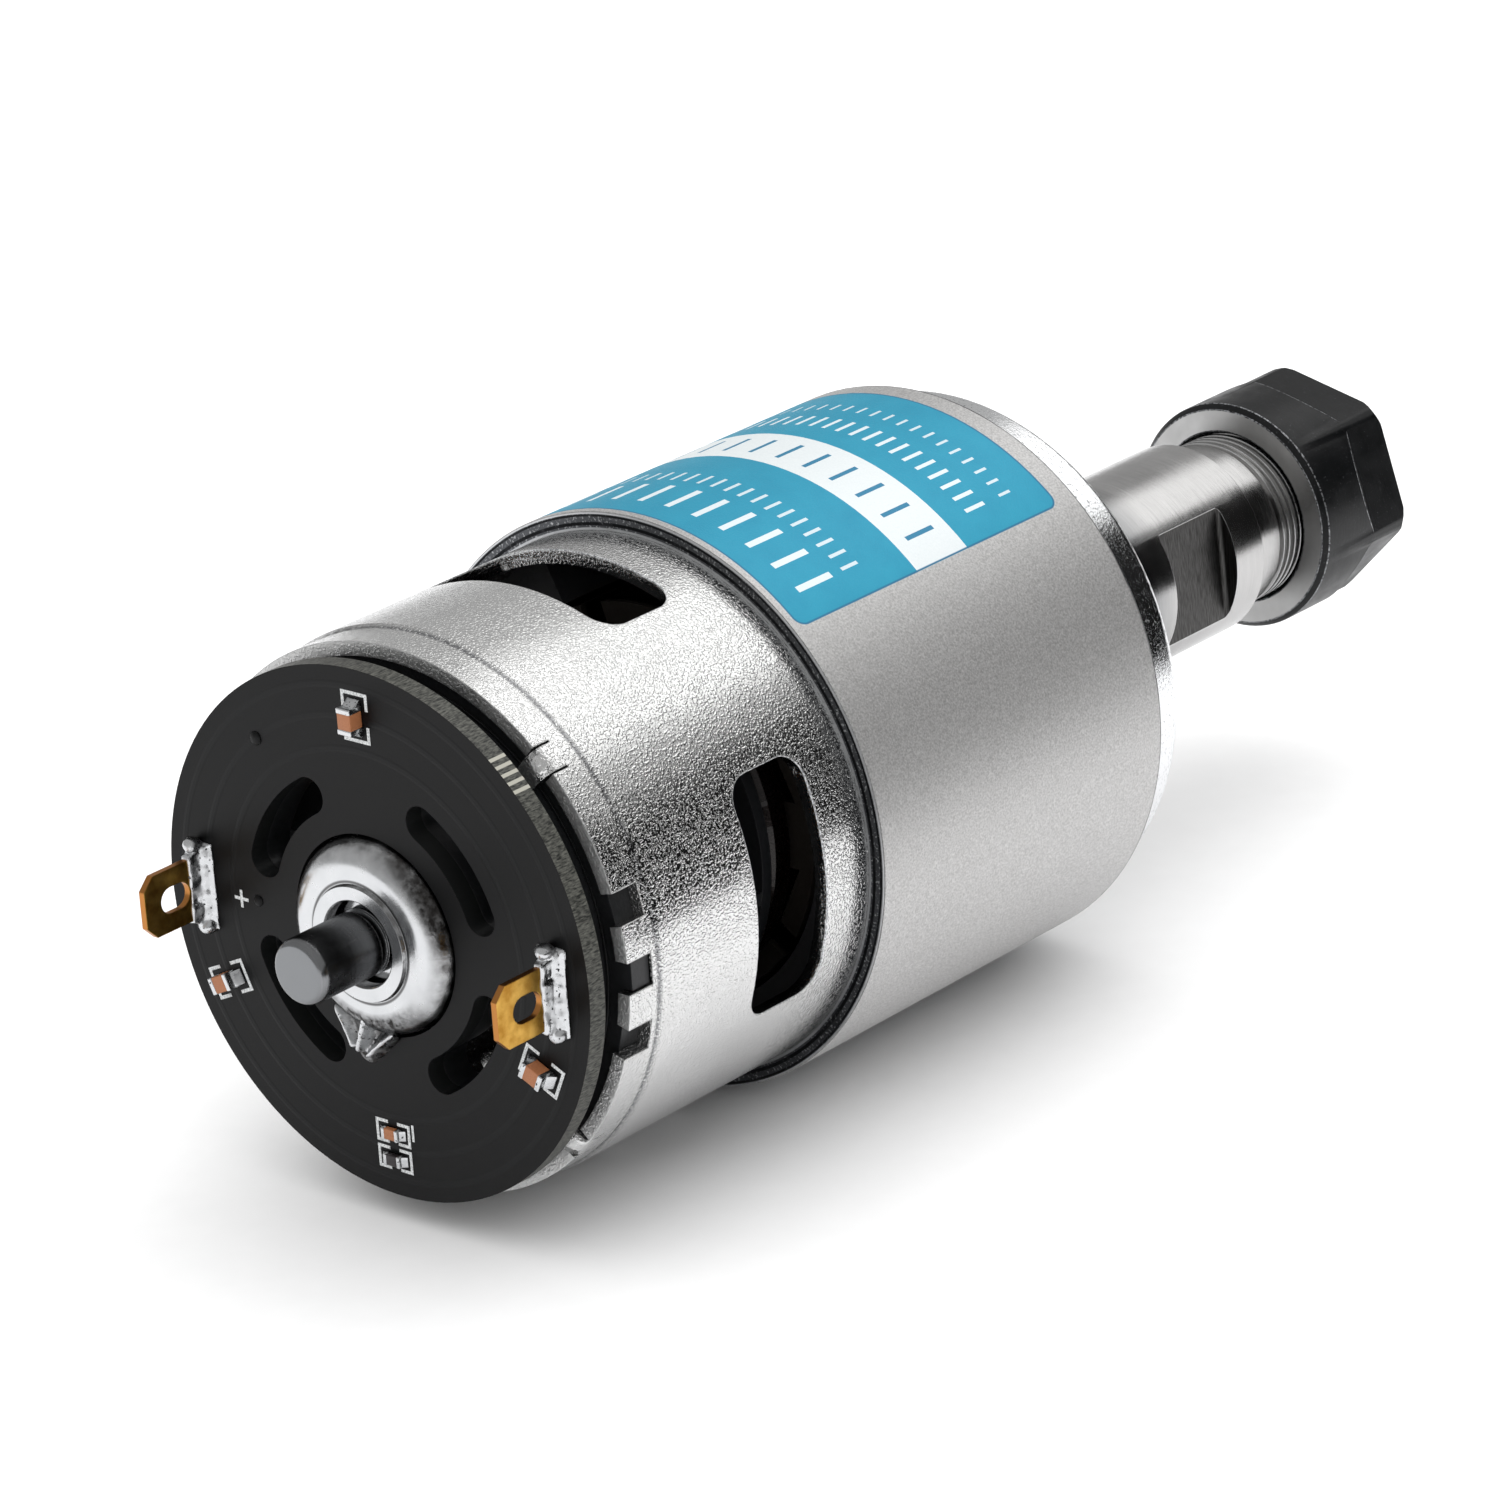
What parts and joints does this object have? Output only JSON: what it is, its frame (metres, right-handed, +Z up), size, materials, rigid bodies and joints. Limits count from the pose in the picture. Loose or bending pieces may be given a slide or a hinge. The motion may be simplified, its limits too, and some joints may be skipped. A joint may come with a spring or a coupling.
{
  "type": "motor spindle",
  "caption": "Brushed DC motor with a collet spindle on its front shaft, for small engraving and drilling machines.",
  "frame": {"origin": "on the shaft's axis, in the plane of the motor's front mounting face", "axes": "+X along the shaft towards the collet, +Z up, with the two terminals on the Y sides"},
  "size_m": [0.1215, 0.0448, 0.0449],
  "materials": {
    "drawn_steel": "bright plated drawn steel with a fine grain",
    "cup_steel": "bright plated pressed steel",
    "ring_steel": "plated rolled strip",
    "label_foil": "matt printed silver foil",
    "ferrite": "sintered ferrite, dark grey",
    "spring_steel": "hardened strip and wire",
    "bearing_steel": "ground bearing steel",
    "cage_steel": "pressed steel strip",
    "bell_plastic": "black moulded plastic",
    "board_black": "black solder mask on glass-fibre board",
    "terminal_brass": "stamped brass",
    "solder": "solidified solder",
    "ceramic_chip": "fired ceramic, tan",
    "resistor_chip": "fired ceramic, dark",
    "carbon": "pressed carbon",
    "shaft_steel": "ground hardened steel",
    "lamination": "stacked electrical steel",
    "fibre_sheet": "red vulcanised fibre",
    "enamelled_copper": "enamelled copper wire",
    "commutator_copper": "turned copper",
    "phenolic": "moulded phenolic",
    "fan_plastic": "black moulded nylon",
    "spacer_steel": "turned steel",
    "holder_steel": "ground hardened steel",
    "collet_steel": "ground spring steel",
    "nut_black": "black oxide on hardened steel"
  },
  "bodies": {
    "motor_body": {"motor_can": "drawn_steel", "flux_ring": "ring_steel", "foil_label": "label_foil", "magnet_left": "ferrite", "magnet_right": "ferrite", "magnet_clip_top": "spring_steel", "magnet_clip_bottom": "spring_steel", "front_bearing_outer_ring": "bearing_steel", "front_bearing_shields": "cage_steel", "rear_bearing_outer_ring": "bearing_steel", "rear_bearing_shields": "cage_steel", "bearing_cup": "cup_steel", "spring_washer": "spring_steel", "end_bell": "bell_plastic", "circuit_board": "board_black", "terminal_left": "terminal_brass", "terminal_right": "terminal_brass", "terminal_solder": "solder", "ground_solder": "solder", "chip_capacitors": "ceramic_chip", "chip_resistors": "resistor_chip", "brush_box_left": "terminal_brass", "brush_box_right": "terminal_brass", "brush_spring_left": "spring_steel", "brush_spring_right": "spring_steel"},
    "rotor": {"shaft": "shaft_steel", "armature_core": "lamination", "core_sheets": "fibre_sheet", "windings": "enamelled_copper", "commutator_core": "phenolic", "commutator_bars": "commutator_copper", "cooling_fan": "fan_plastic", "front_spacer": "spacer_steel", "rear_spacer": "spacer_steel", "front_bearing_inner_ring": "bearing_steel", "rear_bearing_inner_ring": "bearing_steel", "collet_holder": "holder_steel"},
    "front_ball_set": {"front_bearing_balls": "bearing_steel", "front_bearing_cage": "cage_steel"},
    "rear_ball_set": {"rear_bearing_balls": "bearing_steel", "rear_bearing_cage": "cage_steel"},
    "left_brush": {"brush_left": "carbon"},
    "right_brush": {"brush_right": "carbon"},
    "collet_body": {"collet": "collet_steel"},
    "nut_body": {"collet_nut": "nut_black"}
  },
  "joints": [
    {"name": "rotor_spin", "type": "hinge", "parent": "motor_body", "child": "rotor", "pos_m": [0, 0, 0], "axis": [1, 0, 0], "continuous": true},
    {"name": "front_balls_roll", "type": "hinge", "parent": "motor_body", "child": "front_ball_set", "pos_m": [0, 0, 0], "axis": [1, 0, 0], "continuous": true},
    {"name": "rear_balls_roll", "type": "hinge", "parent": "motor_body", "child": "rear_ball_set", "pos_m": [-0.065, 0, 0], "axis": [1, 0, 0], "continuous": true},
    {"name": "collet_slide", "type": "slide", "parent": "rotor", "child": "collet_body", "axis": [1, 0, 0], "range_m": [0, 0.0045]},
    {"name": "nut_turn", "type": "hinge", "parent": "collet_body", "child": "nut_body", "pos_m": [0.04, 0, 0], "axis": [1, 0, 0], "range_deg": [0, 2161]},
    {"name": "left_brush_slide", "type": "slide", "parent": "motor_body", "child": "left_brush", "axis": [0, 1, 0], "range_m": [0, 0.0012], "stiffness_N_per_m": 150, "springref_m": -0.003, "deforming": ["brush_spring_left"]},
    {"name": "right_brush_slide", "type": "slide", "parent": "motor_body", "child": "right_brush", "axis": [0, -1, 0], "range_m": [0, 0.0012], "stiffness_N_per_m": 150, "springref_m": -0.003, "deforming": ["brush_spring_right"]}
  ],
  "couplings": [
    {"joint": "front_balls_roll", "follows": "rotor_spin", "ratio": 0.35714},
    {"joint": "rear_balls_roll", "follows": "rotor_spin", "ratio": 0.36778},
    {"joint": "nut_turn", "follows": "collet_slide", "rad_per_m": 8377.6}
  ]
}
